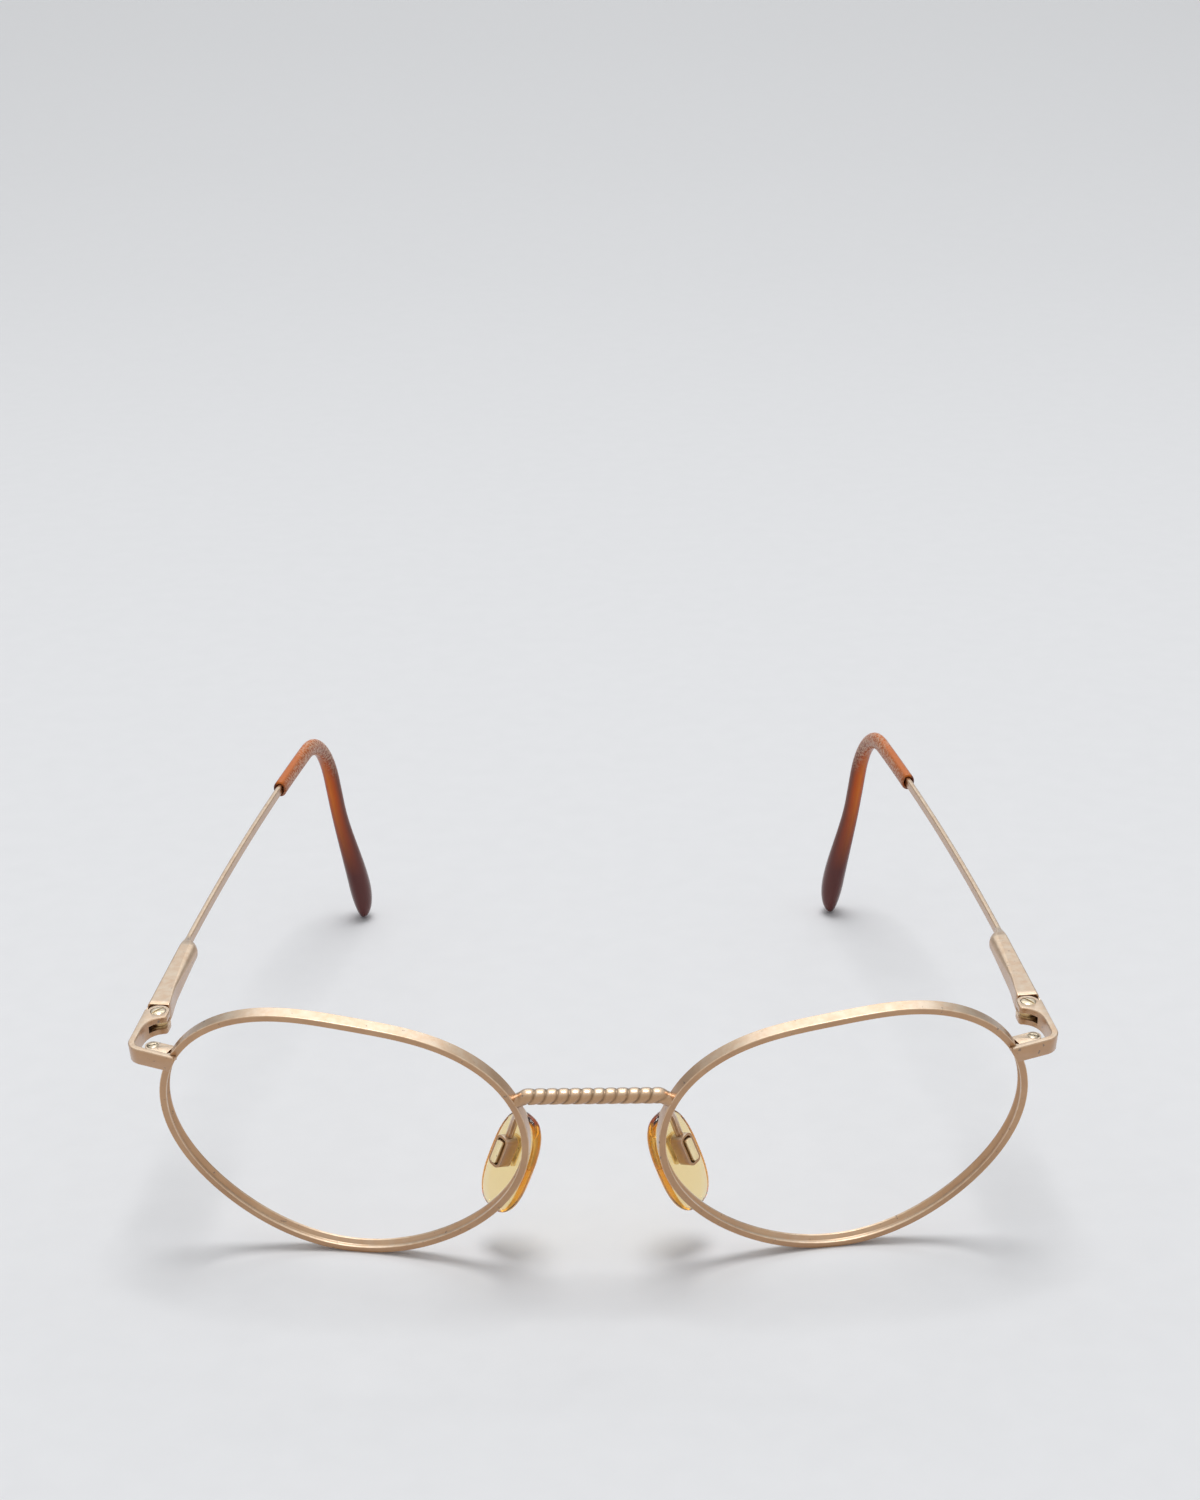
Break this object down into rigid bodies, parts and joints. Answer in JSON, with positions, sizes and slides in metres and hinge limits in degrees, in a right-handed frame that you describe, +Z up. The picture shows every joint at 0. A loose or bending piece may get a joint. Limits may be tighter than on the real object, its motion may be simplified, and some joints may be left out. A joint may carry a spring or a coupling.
{
  "type": "eyeglass frame",
  "caption": "Open gold metal eyeglass frame with oval grooved rims, twisted rope bridge, rocking nose pads and spring-hinged folding temples with amber tips.",
  "frame": {"origin": "middle of the footprint on the surface it stands on, under the bounding box", "axes": "+X to the wearer's left (right of the picture), +Y back from the rims to the ears, +Z up"},
  "size_m": [0.1252, 0.1236, 0.042],
  "materials": {
    "gold_metal": "satin pale gold plating with a fine drawn grain",
    "polished_gold": "polished pale gold plating",
    "steel": "bare bright steel",
    "amber_plastic": "translucent amber to dark brown acetate, aged with a pale bloom",
    "clear_amber": "clear moulded plastic, yellowed at its edges"
  },
  "bodies": {
    "front": {"left_rim": "gold_metal", "left_endpiece": "gold_metal", "left_closing_block_upper": "polished_gold", "left_closing_block_lower": "polished_gold", "left_closing_screw": "steel", "left_hinge_screw": "polished_gold", "left_pad_box": "gold_metal", "left_pad_arm": "gold_metal", "right_rim": "gold_metal", "right_endpiece": "gold_metal", "right_closing_block_upper": "polished_gold", "right_closing_block_lower": "polished_gold", "right_closing_screw": "steel", "right_hinge_screw": "polished_gold", "right_pad_box": "gold_metal", "right_pad_arm": "gold_metal", "bridge": "gold_metal"},
    "left_carriage": {"left_hinge_carriage": "polished_gold"},
    "left_arm": {"left_temple": "gold_metal", "left_temple_tip": "amber_plastic", "left_spring_stop": "steel", "left_hinge_spring": "steel"},
    "left_pad": {"left_nose_pad": "clear_amber", "left_pad_lug": "polished_gold"},
    "right_carriage": {"right_hinge_carriage": "polished_gold"},
    "right_arm": {"right_temple": "gold_metal", "right_temple_tip": "amber_plastic", "right_spring_stop": "steel", "right_hinge_spring": "steel"},
    "right_pad": {"right_nose_pad": "clear_amber", "right_pad_lug": "polished_gold"}
  },
  "joints": [
    {"name": "left_fold", "type": "hinge", "parent": "front", "child": "left_carriage", "pos_m": [0.05982, -0.04361, 0.03315], "axis": [0, -0.0525, 0.9986], "range_deg": [0, 81]},
    {"name": "left_pull", "type": "slide", "parent": "left_carriage", "child": "left_arm", "axis": [-0.1045, 0.9932, 0.0522], "range_m": [0, 0.001], "stiffness_N_per_m": 2000, "springref_m": -0.001, "deforming": ["left_hinge_spring"]},
    {"name": "left_rock", "type": "hinge", "parent": "front", "child": "left_pad", "pos_m": [0.01248, -0.05156, 0.01648], "axis": [0.6157, 0.7662, 0.1841], "range_deg": [-8, 8]},
    {"name": "right_fold", "type": "hinge", "parent": "front", "child": "right_carriage", "pos_m": [-0.05982, -0.04361, 0.03315], "axis": [0, 0.0525, -0.9986], "range_deg": [0, 71]},
    {"name": "right_pull", "type": "slide", "parent": "right_carriage", "child": "right_arm", "axis": [0.1045, 0.9932, 0.0522], "range_m": [0, 0.001], "stiffness_N_per_m": 2000, "springref_m": -0.001, "deforming": ["right_hinge_spring"]},
    {"name": "right_rock", "type": "hinge", "parent": "front", "child": "right_pad", "pos_m": [-0.01248, -0.05156, 0.01648], "axis": [-0.6157, 0.7662, 0.1841], "range_deg": [-8, 8]}
  ]
}
